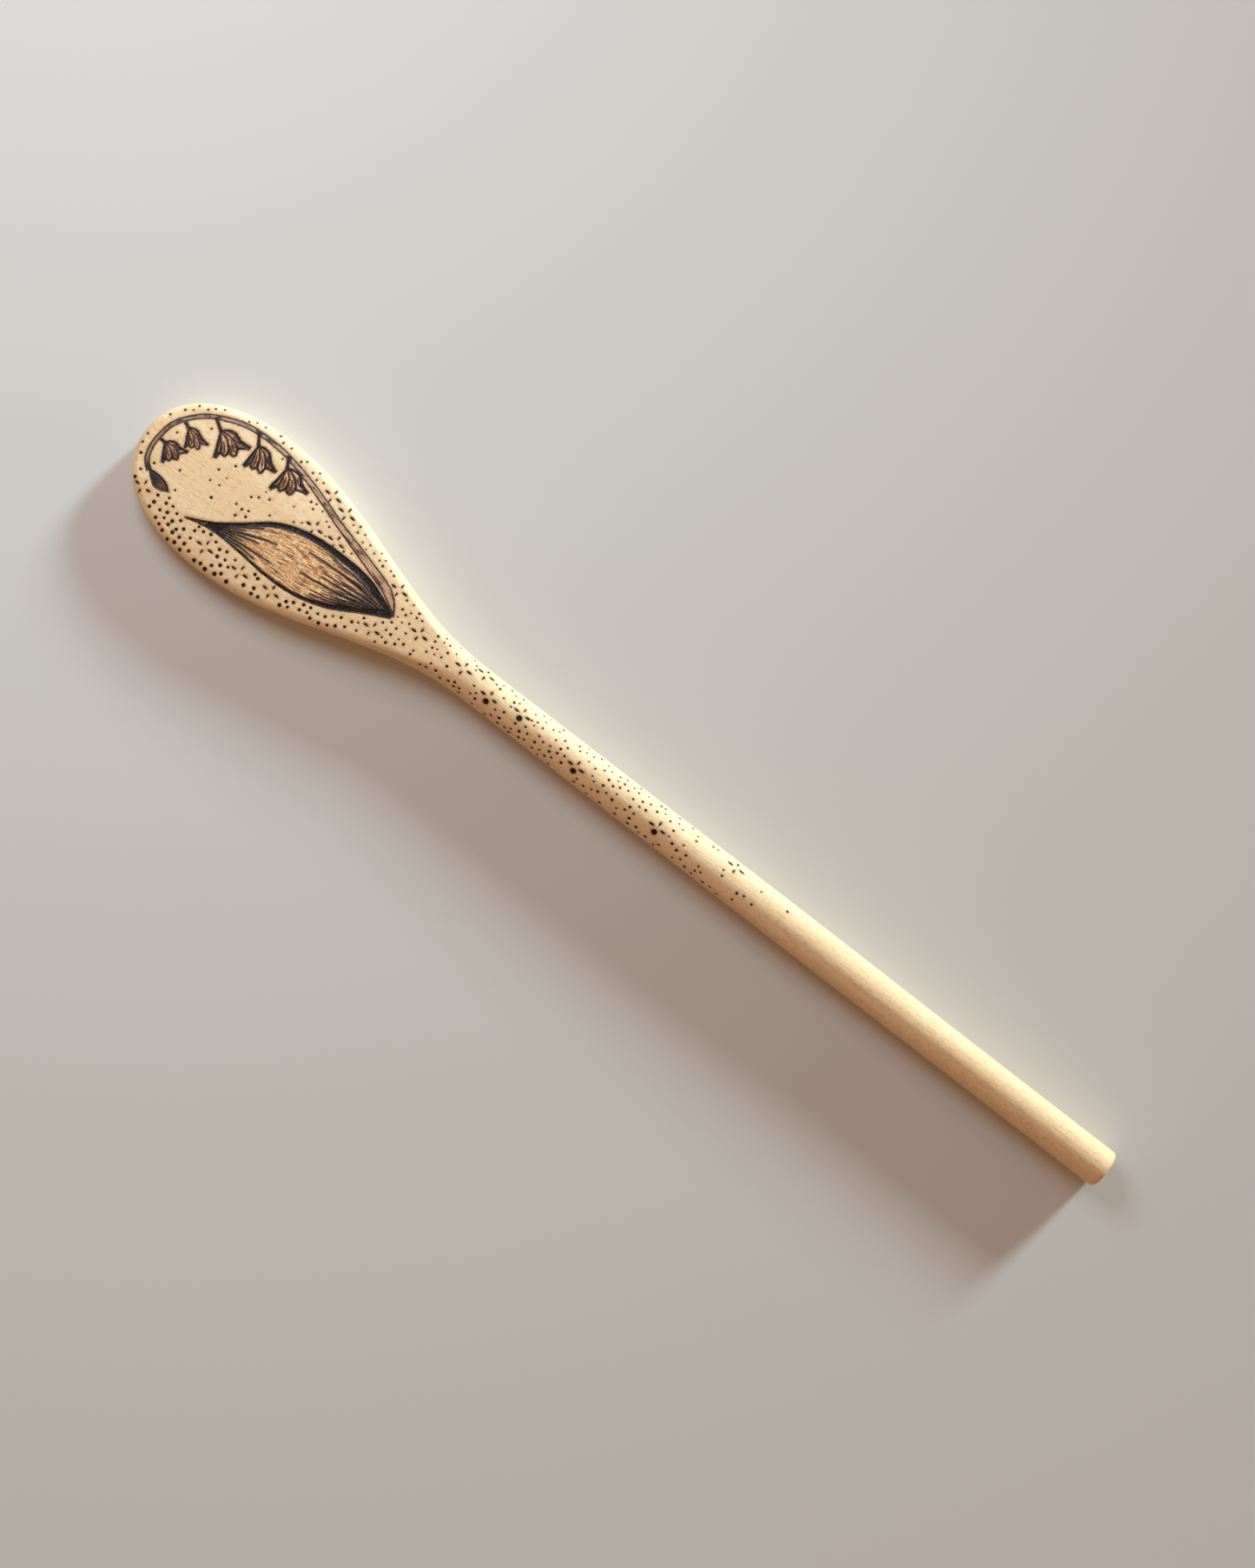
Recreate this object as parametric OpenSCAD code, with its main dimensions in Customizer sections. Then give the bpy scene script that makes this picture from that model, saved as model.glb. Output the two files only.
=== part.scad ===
// Decorated wooden spoon, lying face down. The blank is turned like a spindle and
// then planed on both faces, and a lily-of-the-valley drawing is burned into its back.
// X runs from the head to the end of the handle and Z is up. The rim of the bowl and
// the underside of the handle rest on Z = 0, and the origin is under the middle.

/* [Head] */
// Overall length of the spoon
length = 305; // [285:1:340]
// Width of the head
head_w = 40.2; // [38:0.2:44]
// Distance from the tip to the widest point of the head
peak_at = 31; // [29:0.5:33]
// Distance from the tip to the start of the handle
neck_at = 104; // [100:1:112]
// Height of the back at the tip
tip_h = 8; // [7.6:0.1:9]
// Distance from the tip at which the flat back runs out on the neck
flat_end = 101; // [97:0.5:101]

/* [Handle] */
// Diameter at the neck
neck_d = 10; // [9.4:0.1:10.4]
// Diameter of the swell in the middle of the handle
swell_d = 10.5; // [10.5:0.1:11.4]
// Distance from the tip to the swell
swell_at = 207; // [195:1:220]
// Diameter of the straight grip at the end
grip_d = 10.2; // [9.8:0.1:10.4]
// Length of the straight grip
grip_len = 43; // [30:1:60]
// Radius of the rounded edge at the end of the handle
end_round = 1.2; // [0.6:0.1:2]

/* [Bowl] */
// Depth of the hollow under the head
bowl_depth = 5.2; // [4.6:0.1:5.6]
// Width of the rim round the hollow
rim_w = 3; // [2.4:0.1:4]
// Distance from the tip to the end of the hollow
bowl_end = 74; // [68:1:78]

/* [Drawing] */
// Depth to which the wood is charred
burn_depth = 0.3; // [0.2:0.05:0.5]
// Average area of back for each burned dot, in square millimetres
dot_area = 4.2; // [3.6:0.1:12]
// Distance from the tip at which the dots on the handle have died away
dots_end = 203; // [150:1:240]

/* [Hidden] */

WOOD = [0.92, 0.79, 0.60];
CHAR = [0.13, 0.10, 0.09];
SCORCH = [0.66, 0.46, 0.29];

half_w = head_w / 2;
neck_r = neck_d / 2;
axis_h = swell_d / 2;
oval_power = 2.2;
above = 1;
slices = 12;

// The drawing is laid out for a head of this size and stretched to fit any other
DRAWN_NECK_AT = 104;
DRAWN_HEAD_W = 40.2;
function fitted(p) = [p[0] * neck_at / DRAWN_NECK_AT, p[1] * head_w / DRAWN_HEAD_W];

// ---- Outline of the turned blank ----

function ease(t) = (1 - cos(180 * t)) / 2;
function blend(a, b, t) = a + (b - a) * ease(t);
function taper_radius(x) =
    x < swell_at ? blend(neck_r, swell_d / 2, (x - neck_at) / (swell_at - neck_at))
                 : blend(swell_d / 2, grip_d / 2,
                         min(1, (x - swell_at) / (length - grip_len - swell_at)));
// Radius of the blank at the distance x from the tip
function radius(x) =
    x < peak_at ? half_w * pow(1 - pow((peak_at - x) / peak_at, oval_power), 1 / oval_power)
    : x < neck_at ? blend(half_w, neck_r, (x - peak_at) / (neck_at - peak_at))
    : taper_radius(x);

nose = [for (a = [0:6:90]) [half_w * pow(sin(a), 2 / oval_power),
                            peak_at * (1 - pow(cos(a), 2 / oval_power))]];
neck = [for (i = [1:24]) let (x = peak_at + (neck_at - peak_at) * i / 24) [radius(x), x]];
handle = [for (i = [1:16]) let (x = neck_at + (length - grip_len - neck_at) * i / 16)
          [radius(x), x]];
butt = [for (a = [0:15:90]) [grip_d / 2 - end_round * (1 - cos(a)),
                             length - end_round * (1 - sin(a))]];

// Height of the planed back at the distance x from the tip
back_rise = (axis_h + radius(flat_end) - tip_h) / flat_end;
back_angle = atan(back_rise);
function back_h(x) = tip_h + back_rise * x;
function back_half_width(x) = sqrt(pow(radius(x), 2) - pow(back_h(x) - axis_h, 2));

// ---- Hollow of the bowl: a shallow turned dish ----

dish_w = half_w - rim_w;
dish_drop = (pow(dish_w, 2) - pow(bowl_depth, 2)) / (2 * bowl_depth);
function dish_half_width(x) =
    x < peak_at
    ? dish_w * pow(1 - pow((peak_at - x) / (peak_at - rim_w), oval_power), 1 / oval_power)
    : dish_w * pow(1 - pow((x - peak_at) / (bowl_end - peak_at), 2), 0.8);
function dish_radius(x) = sqrt(pow(dish_half_width(x), 2) + pow(dish_drop, 2));
dish = [for (i = [1:23]) let (x = rim_w + (bowl_end - rim_w) * ease(i / 24)) [dish_radius(x), x]];

// ---- Curves ----

function hermite(a, b, c, d, t) =
    0.5 * (2 * b + (c - a) * t + (2 * a - 5 * b + 4 * c - d) * t * t
           + (3 * b - a - 3 * c + d) * t * t * t);
// Point at t, from 0 to 1, on a smooth curve through the points
function along(points, t) =
    let (last = len(points) - 1, s = min(t * last, last - 0.0001), i = floor(s))
    hermite(points[max(i - 1, 0)], points[i], points[i + 1], points[min(i + 2, last)], s - i);
function curve(points, n = slices) = [for (i = [0:n]) along(points, i / n)];
function direction(line, i) =
    let (d = line[min(i + 1, len(line) - 1)] - line[max(i - 1, 0)]) d / norm(d);
// Outline of a line whose width runs through the three widths given
function stroke(line, widths) =
    let (n = len(line) - 1,
         side = [for (i = [0:n]) let (d = direction(line, i)) [-d[1], d[0]]
                 * along(widths, i / n) / 2])
    concat([for (i = [0:n]) line[i] + side[i]], [for (i = [n:-1:0]) line[i] - side[i]]);

function gap_to_segment(p, a, b) =
    let (t = (p - a) * (b - a) / ((b - a) * (b - a))) norm(p - a - (b - a) * max(0, min(1, t)));
function gap(p, line) = min([for (i = [0:len(line) - 2]) gap_to_segment(p, line[i], line[i + 1])]);
function inside(p, loop) =
    let (n = len(loop),
         hits = [for (i = [0:n - 1]) let (a = loop[i], b = loop[(i + 1) % n])
                 if ((a[1] > p[1]) != (b[1] > p[1])
                     && p[0] < a[0] + (b[0] - a[0]) * (p[1] - a[1]) / (b[1] - a[1])) 1])
    len(hits) % 2 == 1;

// ---- Drawing, in distances from the tip and from the middle of the back ----

STEM = [[7.2, -7.6], [5.2, -6], [4, -3], [3.9, 0.6], [4.7, 5], [7.3, 9], [11.7, 12.8],
        [19.5, 16.1], [27.7, 16.8], [35, 16], [43, 14.1], [54, 10.6], [66, 7.2], [73, 5],
        [76.3, 2.8], [78.2, 0.4]];
STEM_WIDTHS = [1.5, 1.4, 1.4, 1.4, 1.5, 1.9, 2.5, 1.2];
LEAF_TOP = [[21.6, -11.5], [28.5, -8.2], [35, -3.6], [42, 1.5], [52, 4.3], [66, 4.2], [74, 2],
            [78.2, 0.2]];
LEAF_FOOT = [[21.6, -11.5], [28, -10], [36.4, -9.9], [46, -10.6], [55, -10.1], [63, -7.6],
             [71, -3.2], [78.2, 0.2]];
LEAF_TOP_WIDTHS = [0.5, 0.9, 1.4, 1.7, 1.8, 0.9];
LEAF_FOOT_WIDTHS = [0.5, 0.5, 0.7, 0.9, 1.5, 0.8];
BUD_TOP = [[6.6, -7.2], [9.5, -6.9], [12.7, -7.5], [14.8, -9.1]];
BUD_FOOT = [[6.6, -7.2], [9.1, -9.5], [11.5, -10.4], [14.8, -9.1]];
// Each bell: where it leaves the stem, its crown, its turn, its height and half its width
BELLS = [[[4.6, 0.4], [6.1, 0.2], -18, 4.6, 3.5], [[7, 7.5], [8.6, 6.8], -29, 5.2, 2.9],
         [[12.6, 13], [15.6, 11.1], -25, 6.3, 4.6], [[23.4, 16.6], [25.4, 13.9], -50, 5.9, 4.1],
         [[33, 16.4], [34.6, 13.8], -49, 5.7, 4.8]];
// Lines of a bell, as parts of its height and of half its width, with their widths: the
// outer edges of its petals, its scalloped mouth, the folds between the petals and hatching
BELL_LINES = [[[[0, 0], [0.11, 0.38], [0.34, 0.65], [0.71, 0.69], [1.16, 1]], [0.6, 0.8, 0.9]],
              [[[0, 0], [0.27, -0.33], [0.56, -0.65], [0.83, -0.98]], [0.6, 0.8, 1]],
              [[[1.16, 1], [1, 0.58], [0.94, 0.36]], [0.8, 0.6, 0.7]],
              [[[0.94, 0.36], [1.15, 0.04], [0.89, -0.14]], [0.7, 0.6, 0.7]],
              [[[0.89, -0.14], [0.95, -0.46], [0.73, -0.54]], [0.7, 0.6, 0.7]],
              [[[0.73, -0.54], [0.83, -0.98]], [0.7, 0.8, 0.9]],
              [[[0.02, 0.06], [0.34, 0.34], [0.7, 0.4], [0.95, 0.37]], [0.4, 0.5, 0.8]],
              [[[0.02, 0], [0.45, 0.08], [0.89, -0.14]], [0.4, 0.5, 0.8]],
              [[[0.04, -0.08], [0.4, -0.26], [0.73, -0.54]], [0.4, 0.5, 0.8]],
              [[[0.4, 0.5], [0.7, 0.54], [0.92, 0.72]], [0.2, 0.4, 0.25]],
              [[[0.5, 0.24], [0.75, 0.2], [0.98, 0.12]], [0.2, 0.4, 0.25]],
              [[[0.4, -0.12], [0.65, -0.24], [0.84, -0.36]], [0.2, 0.4, 0.25]]];
STALK_WIDTHS = [1, 0.8, 1.1];
// Bells less than this half width are drawn with finer lines
WIDE_BELL = 4;
// Middle of each four-petalled mark, with 1 where a round seed stands for its lowest petal
BLOSSOMS = [[8.4, -11.9, 0], [30.2, -14.4, 0], [41, -14, 0], [47.9, 15.4, 0],
            [53.4, 13.9, 0], [49.1, 6.3, 0], [55.6, 6.7, 0], [50.2, -13.1, 0], [75.6, 6.9, 0],
            [76, -5, 0], [86.3, 1.2, 0], [100.3, 1.3, 0], [105.7, 3.9, 0], [109.7, -0.6, 1],
            [118.9, 1.2, 1], [137.6, -1.1, 1], [163, -0.7, 1], [184.8, 3.9, 0]];
SEED_R = 0.8;
seed_at = 1.3;
// Petals beside the middle of a blossom are longer and further out than those above and below
side_at = 1.75;
end_at = 1.3;
end_scale = 0.78;
petal_len = 1.7;
petal_w = 0.66;
petal_r = (pow(petal_len, 2) + pow(petal_w, 2)) / (4 * petal_w);
// The open space between the bells and the leaf, which has few dots
OPEN_SPACE = [[9, -5.5], [20, -12], [33, -3.5], [43, 3.5], [47, 8], [43, 12], [33, 9], [22, 7],
              [13, 4], [9, 0]];
open_share = 0.16;
// The part of the places for dots at the start of the neck that have one
neck_share = 0.8;

stem_loop = stroke([for (p = curve(STEM, 48)) fitted(p)], STEM_WIDTHS);
leaf_top = [for (p = curve(LEAF_TOP, 28)) fitted(p)];
leaf_foot = [for (p = curve(LEAF_FOOT, 28)) fitted(p)];
leaf_tip = 0.985;
leaf_edges = [stroke(leaf_top, LEAF_TOP_WIDTHS), stroke(leaf_foot, LEAF_FOOT_WIDTHS)];
leaf_loop = concat([for (i = [1:len(leaf_top) - 2]) leaf_top[i]],
                   [fitted(along(LEAF_TOP, leaf_tip))],
                   [for (i = [len(leaf_foot) - 2:-1:1]) leaf_foot[i]]);
bud_foot = curve(BUD_FOOT, 8);
bud_loop = [for (p = concat(curve(BUD_TOP, 8), [for (i = [7:-1:1]) bud_foot[i]])) fitted(p)];
open_loop = [for (p = OPEN_SPACE) fitted(p)];

// Line in the leaf at a constant share of the way from its foot to its top
function vein(share, from, to) =
    [for (i = [0:slices]) let (t = from + (to - from) * i / slices)
     fitted(along(LEAF_FOOT, t) * (1 - share) + along(LEAF_TOP, t) * share)];

function has_seed(blossom, turn) = blossom[2] == 1 && turn == 270;
function mark_place(blossom, turn) =
    fitted(blossom)
    + [side_at * cos(turn), (has_seed(blossom, turn) ? seed_at : end_at) * sin(turn)];

function bell_point(bell, p) =
    let (a = bell[2], u = p[0] * bell[3], v = p[1] * bell[4])
    bell[1] + [u * cos(a) - v * sin(a), u * sin(a) + v * cos(a)];

// ---- Dots: one in each cell of a staggered grid, shifted at random within it ----

dot_edge = 0.65;
dot_gap = 0.2;
shift = 0.25;
pitch = sqrt(dot_area);
head_end = flat_end - 12;
arc_w = 13;
columns = floor(head_end / pitch);
rows = floor(head_w / pitch);
neck_columns = floor((dots_end - head_end) / pitch);
neck_rows = floor(arc_w / pitch);
chance = rands(0, 1, 4 * (columns * rows + neck_columns * neck_rows), 11);

// Place of a dot in its cell. Each cell has four random numbers: two shifts, size and whether
function cell(i, j, high, k) =
    pitch * [i + 0.5 + shift * (2 * chance[4 * k] - 1),
             j + 0.25 + (i % 2) / 2 - high / 2 + shift * (2 * chance[4 * k + 1] - 1)];
// Radius of a dot that is at the given share of the way to the darker edge
function dot_r(share, k) = 0.24 + 0.15 * chance[4 * k + 2] + 0.22 * max(0, share);
function on_head(p) = p[0] < peak_at
    ? pow((peak_at - p[0]) / (peak_at - dot_edge), oval_power)
      + pow(abs(p[1]) / (half_w - dot_edge), oval_power) < 1
    : abs(p[1]) < back_half_width(p[0]) - dot_edge;
function near_bell(p) =
    len([for (b = BELLS)
         let (middle = fitted(bell_point(b, [0.6, 0])), reach = norm([0.4 * b[3], b[4]]))
         if (norm(p - middle) < reach + 0.3 || gap(p, [fitted(b[0]), fitted(b[1])]) < 1.2) 1]) > 0;
function near_blossom(p, r) =
    len([for (b = BLOSSOMS) if (norm(p - fitted(b)) < side_at + petal_len / 2 + r) 1]) > 0;
function clear_of(loop, p, r) = !inside(p, loop) && gap(p, loop) > r + dot_gap;
function clear_head(p, r) =
    on_head(p) && !near_blossom(p, r) && !near_bell(p) && !inside(p, leaf_loop)
    && clear_of(stem_loop, p, r) && clear_of(bud_loop, p, r)
    && clear_of(leaf_edges[0], p, r) && clear_of(leaf_edges[1], p, r);

head_dots = [for (i = [0:columns - 1], j = [0:rows - 1])
    let (k = i * rows + j, p = cell(i, j, rows, k), r = dot_r(-p[1] / half_w, k))
    if (clear_head(p, r) && (!inside(p, open_loop) || chance[4 * k + 3] < open_share))
        [p, r]];

// On the neck and handle a place is a distance from the tip and an arc round the axis
neck_dots = [for (i = [0:neck_columns - 1], j = [0:neck_rows - 1])
    let (k = columns * rows + i * neck_rows + j,
         p = [head_end + pitch / 4, 0] + cell(i, j, neck_rows, k),
         worn = (p[0] - head_end) / (dots_end - head_end), r = dot_r(-p[1] / arc_w, k))
    if (!near_blossom(p, r) && chance[4 * k + 3] < neck_share * (1 - pow(worn, 4)))
        [p, r]];

// ---- Placing ----

// Lays a flat outline on the planed back, burned in by burn_depth
module burned(up = 0) {
    translate([0, 0, tip_h])
        rotate([0, -back_angle, 0])
            translate([0, 0, -burn_depth])
                linear_extrude(burn_depth + up)
                    children();
}

// Lays a flat outline on the round neck or handle
module burned_round(p, up = 0) {
    turn = p[1] / radius(p[0]) * 180 / PI;
    r = min(radius(p[0]), (back_h(p[0]) - axis_h) / cos(min(80, abs(turn))));
    translate([p[0], 0, axis_h])
        rotate([-turn, 0, 0])
            translate([0, 0, r - burn_depth])
                linear_extrude(burn_depth + up)
                    children();
}

module centred() {
    translate([-length / 2, 0, 0])
        children();
}

// ---- Flat outlines of the drawing ----

module line(points, widths) {
    polygon(stroke(points, widths));
}

module stem_shape() {
    polygon(stem_loop);
}

module leaf_shape() {
    polygon(leaf_loop);
}

module leaf_lines() {
    for (edge = leaf_edges)
        polygon(edge);
    for (i = [1:7]) {
        line(vein(i / 8, 0.12, 0.3 + 0.07 * (i % 3)), [0.3, 0.45, 0.22]);
        line(vein(i / 8, 0.56 + 0.07 * (i % 3), 0.96), [0.22, 0.5, 0.4]);
    }
}

module bell_shape(bell) {
    line(curve([fitted(bell[0]), fitted(bell[1])], 2), STALK_WIDTHS);
    for (drawn = BELL_LINES)
        line([for (p = curve(drawn[0], 8)) fitted(bell_point(bell, p))],
             drawn[1] * min(1, bell[4] / WIDE_BELL));
}

module bud_shape() {
    polygon(bud_loop);
}

// One petal, pointing along X from the middle of a blossom
module petal_shape() {
    intersection_for (side = [-1, 1])
        translate([0, side * (petal_r - petal_w / 2)])
            circle(r = petal_r, $fn = 96);
}

// One of the four marks of a blossom, round where it is the lowest one and has a seed
module mark_shape(blossom, turn) {
    if (has_seed(blossom, turn))
        circle(r = SEED_R, $fn = 24);
    else
        rotate(turn)
            scale(turn % 180 == 0 ? 1 : end_scale)
                petal_shape();
}

// The marks on the head, without what the outline of the leaf covers
module head_blossoms() {
    difference() {
        for (b = BLOSSOMS)
            if (fitted(b)[0] < head_end)
                for (turn = [0:90:270])
                    translate(mark_place(b, turn))
                        mark_shape(b, turn);
        for (edge = leaf_edges)
            polygon(edge);
    }
}

module head_dots() {
    for (d = head_dots)
        translate(d[0])
            circle(r = d[1], $fn = 16);
}

module neck_blossoms(up = 0) {
    for (b = BLOSSOMS)
        if (fitted(b)[0] >= head_end)
            for (turn = [0:90:270])
                burned_round(mark_place(b, turn), up)
                    mark_shape(b, turn);
}

module neck_dots(up = 0) {
    for (d = neck_dots)
        burned_round(d[0], up)
            circle(r = d[1], $fn = 16);
}

// ---- Parts ----

module blank() {
    translate([0, 0, axis_h])
        rotate([0, 90, 0])
            rotate_extrude($fn = 96)
                polygon(concat(nose, neck, handle, butt, [[0, length]]));
}

// Everything between the planed back and the plane of the rim
module planed() {
    translate([0, head_w, 0])
        rotate([90, 0, 0])
            linear_extrude(2 * head_w)
                polygon([[-above, 0], [length + above, 0],
                         [length + above, back_h(length + above)], [-above, back_h(-above)]]);
}

module hollow() {
    translate([0, 0, -dish_drop])
        rotate([0, 90, 0])
            rotate_extrude($fn = 96)
                polygon(concat([[0, rim_w], [dish_drop - above, rim_w]], dish,
                               [[dish_drop - above, bowl_end], [0, bowl_end]]));
}

module wooden_spoon() {
    color(WOOD)
        centred()
            difference() {
                intersection() {
                    blank();
                    planed();
                }
                hollow();
                burned(above) {
                    stem_shape();
                    leaf_shape();
                    leaf_lines();
                    for (bell = BELLS)
                        bell_shape(bell);
                    bud_shape();
                    head_blossoms();
                    head_dots();
                }
                neck_blossoms(above);
                neck_dots(above);
            }
}

module stem() {
    color(SCORCH)
        centred()
            burned()
                difference() {
                    stem_shape();
                    leaf_shape();
                    leaf_lines();
                    for (bell = BELLS)
                        bell_shape(bell);
                    bud_shape();
                    head_blossoms();
                }
}

module leaf_outline() {
    color(CHAR)
        centred()
            burned()
                leaf_lines();
}

module leaf_blade() {
    color(SCORCH)
        centred()
            burned()
                difference() {
                    leaf_shape();
                    leaf_lines();
                }
}

module bell(number) {
    color(CHAR)
        centred()
            burned()
                difference() {
                    bell_shape(BELLS[number - 1]);
                    if (number < len(BELLS))
                        bell_shape(BELLS[number]);
                }
}

module bud() {
    color(CHAR)
        centred()
            burned()
                bud_shape();
}

module blossoms_head() {
    color(CHAR)
        centred()
            burned()
                head_blossoms();
}

module blossoms_neck() {
    color(CHAR)
        centred()
            neck_blossoms();
}

module dots_head() {
    color(CHAR)
        centred()
            burned()
                head_dots();
}

module dots_neck() {
    color(CHAR)
        centred()
            neck_dots();
}

wooden_spoon();
stem();
leaf_outline();
leaf_blade();
bell(1);  // bell_1
bell(2);  // bell_2
bell(3);  // bell_3
bell(4);  // bell_4
bell(5);  // bell_5
bud();
blossoms_head();
blossoms_neck();
dots_head();
dots_neck();
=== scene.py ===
"""Looks of a wooden spoon with a burned drawing: one sanded wooden body, and each burned
area of the drawing as a shallow piece of charred wood set into a groove of that body."""

import math

import bpy
import numpy as np
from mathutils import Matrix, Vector, noise


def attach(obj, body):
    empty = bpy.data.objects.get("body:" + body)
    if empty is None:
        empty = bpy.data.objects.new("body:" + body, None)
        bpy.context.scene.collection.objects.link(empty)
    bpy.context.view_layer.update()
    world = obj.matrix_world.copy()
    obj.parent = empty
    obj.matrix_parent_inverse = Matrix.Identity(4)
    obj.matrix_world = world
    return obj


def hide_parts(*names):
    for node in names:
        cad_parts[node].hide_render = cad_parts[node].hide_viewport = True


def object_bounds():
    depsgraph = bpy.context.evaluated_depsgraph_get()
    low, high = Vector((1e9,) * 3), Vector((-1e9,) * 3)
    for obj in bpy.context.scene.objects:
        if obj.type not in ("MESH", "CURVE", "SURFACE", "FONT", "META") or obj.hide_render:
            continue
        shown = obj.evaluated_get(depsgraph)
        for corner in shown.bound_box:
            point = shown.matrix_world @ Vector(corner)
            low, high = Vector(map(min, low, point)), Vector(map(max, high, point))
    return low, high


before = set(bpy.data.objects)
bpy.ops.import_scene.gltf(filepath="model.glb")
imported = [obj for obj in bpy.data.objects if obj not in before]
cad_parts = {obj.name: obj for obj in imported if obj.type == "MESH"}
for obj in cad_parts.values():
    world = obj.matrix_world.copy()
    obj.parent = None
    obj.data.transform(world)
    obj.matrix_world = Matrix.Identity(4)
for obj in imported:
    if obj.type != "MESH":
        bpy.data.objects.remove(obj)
cad_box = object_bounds()

# ---- Sizes, in millimetres. Distances along the spoon are from its tip ----

MM = 0.001
low, high = (np.array(corner) / MM for corner in cad_box)

# The turned and planed blank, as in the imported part
LENGTH, WIDTH, HEIGHT = high - low
HALF_W = WIDTH / 2
AXIS_H = HEIGHT / 2
SWELL_R = HEIGHT / 2
NECK_R = 5.0
GRIP_R = 5.1
PEAK_AT = 31.0
NECK_AT = 104.0
SWELL_AT = 207.0
GRIP_FROM = LENGTH - 43.0
END_ROUND = 1.2
OVAL = 2.2
TIP_H = 8.0
FLAT_END = 101.0
DOTS_END = 203.0
BOWL_DEPTH = 5.2
RIM_W = 3.0
BOWL_END = 74.0
DISH_TAPER = 0.8

# Sanding: the crown of the back, the rounded edges, and how softly two surfaces join
CROWN = 1.15
CROWN_POWER = 2.5
EDGE_R = 2.2
LEAST_EDGE_R = 0.1
RIM_R = 1.1
BACK_BLEND = 0.45
LIP_BLEND = 0.5
BELLY_BLEND = 0.08

# Cross sections of the body: how far apart they are, and the points round each of them
NOSE_SPAN = 5.0
NOSE_SECTIONS = 27
HEAD_STEP = 0.36
DOTTED_STEP = 0.5
PLAIN_STEP = 1.2
END_SECTIONS = 7
TOP_COLUMNS = 89
UNDER_COLUMNS = 57
SECTION_SAMPLES = 721
# One radian of bend draws points together as this much length does, up to a sharpest bend
BEND_LENGTH = 1.2
SHARPEST = 0.2

# The top is cut this much finer for the outlines of the burned pieces
FINE = 3
# A burned piece stands proud by its film and crust and goes down to its root
FILM = 0.03
ROOT = 0.15
CRUST = 0.02
# The film is thinner at the very edge, and film and crust are full this far in from it
EDGE_FILM = 0.35
FILM_FULL_AT = 0.12
CRUST_FULL_AT = 0.2

# Depth of the groove under a burned piece, and how far in from its edge the groove is full
GROOVE = 0.17
SHALLOW_GROOVE = {"stem": 0.1, "leaf_blade": 0.05}
GROOVE_FULL_AT = 0.35
GROOVE_POWER = 0.7
# Unevenness of the burned edges: the height, size and seed of each layer of noise
WOBBLE = [(0.07, 0.9, 3.1), (0.035, 0.35, 5.3)]
DOT_WOBBLE = 0.4
# Toasted wood round a burn: how strong it is at the edge, and how far it spreads
DOT_TOAST = (0.6, 0.14)
LINE_TOAST = (1.0, 0.24)
# Low waves left by sanding, with the columns and the length over which they fade at the edges
WAVE_H = 0.05
WAVE_SIZE = 14.0
WAVE_SEED = 9.9
FADE_COLUMNS = 8
FADE_LENGTH = 4

HEAD_MARKS = ["stem", "leaf_outline", "leaf_blade", "bell_1", "bell_2", "bell_3", "bell_4",
              "bell_5", "bud", "blossoms_head", "dots_head"]
NECK_MARKS = ["blossoms_neck", "dots_neck"]
DOTS = ["dots_head", "dots_neck"]
# Crown of each bell, the way it hangs in degrees, its height and half its width
BELLS = [(6.1, 0.2, -18, 4.6, 3.5), (8.6, 6.8, -29, 5.2, 2.9), (15.6, 11.1, -25, 6.3, 4.6),
         (25.4, 13.9, -50, 5.9, 4.1), (34.6, 13.8, -49, 5.7, 4.8)]
# Where the stem meets the bud, in metres from the middle of the spoon
BUD_JOINT = (-0.1446, -0.0083, 0.0083)


# ---- Shape of the spoon ----


def blend(a, b, t):
    return a + (b - a) * (1 - np.cos(np.pi * np.clip(t, 0, 1))) / 2


def smooth_min(a, b, width):
    return (a + b - np.sqrt((a - b) ** 2 + width**2)) / 2


def smooth_max(a, b, width):
    return -smooth_min(-a, -b, width)


def signed_power(base, power):
    return np.sign(base) * np.abs(base) ** power


def radius(x):
    """Half the width of the plan, which is the radius of the turned blank."""
    nose = HALF_W * (1 - np.clip((PEAK_AT - x) / PEAK_AT, 0, 1) ** OVAL) ** (1 / OVAL)
    neck = blend(HALF_W, NECK_R, (x - PEAK_AT) / (NECK_AT - PEAK_AT))
    swell = blend(NECK_R, SWELL_R, (x - NECK_AT) / (SWELL_AT - NECK_AT))
    grip = blend(SWELL_R, GRIP_R, (x - SWELL_AT) / (GRIP_FROM - SWELL_AT))
    body = np.select([x < PEAK_AT, x < NECK_AT, x < SWELL_AT], [nose, neck, swell], grip)
    past = np.clip((x - LENGTH + END_ROUND) / END_ROUND, 0, 1)
    return body - END_ROUND * (1 - np.sqrt(1 - past**2))


def plan_place(x, y):
    """0 in the middle of the head and 1 on the outline, and about how far in from the outline."""
    ahead = np.clip((PEAK_AT - x) / PEAK_AT, 0, 1)
    aside = np.abs(y) / HALF_W
    nose = np.maximum((ahead**OVAL + aside**OVAL) ** (1 / OVAL), 1e-6)
    slope = np.hypot((ahead / nose) ** (OVAL - 1) / PEAK_AT, (aside / nose) ** (OVAL - 1) / HALF_W)
    r = np.maximum(radius(x), 1e-6)
    side = np.minimum(np.abs(y) / r, 1)
    flare = (radius(x + 0.05) - radius(x - 0.05)) / 0.1
    in_nose = x < PEAK_AT
    place = np.where(in_nose, np.minimum(nose, 1), side)
    gap = np.where(in_nose, (1 - nose) / np.maximum(slope, 1e-3),
                   (r - np.abs(y)) / np.sqrt(1 + (side * flare) ** 2))
    return place, np.maximum(gap, 0)


def rounded(gap, r):
    """How far an edge rounded to the radius r has dropped at that distance in from the outline."""
    return r - np.sqrt(r**2 - (r - np.clip(gap, 0, r)) ** 2)


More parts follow.
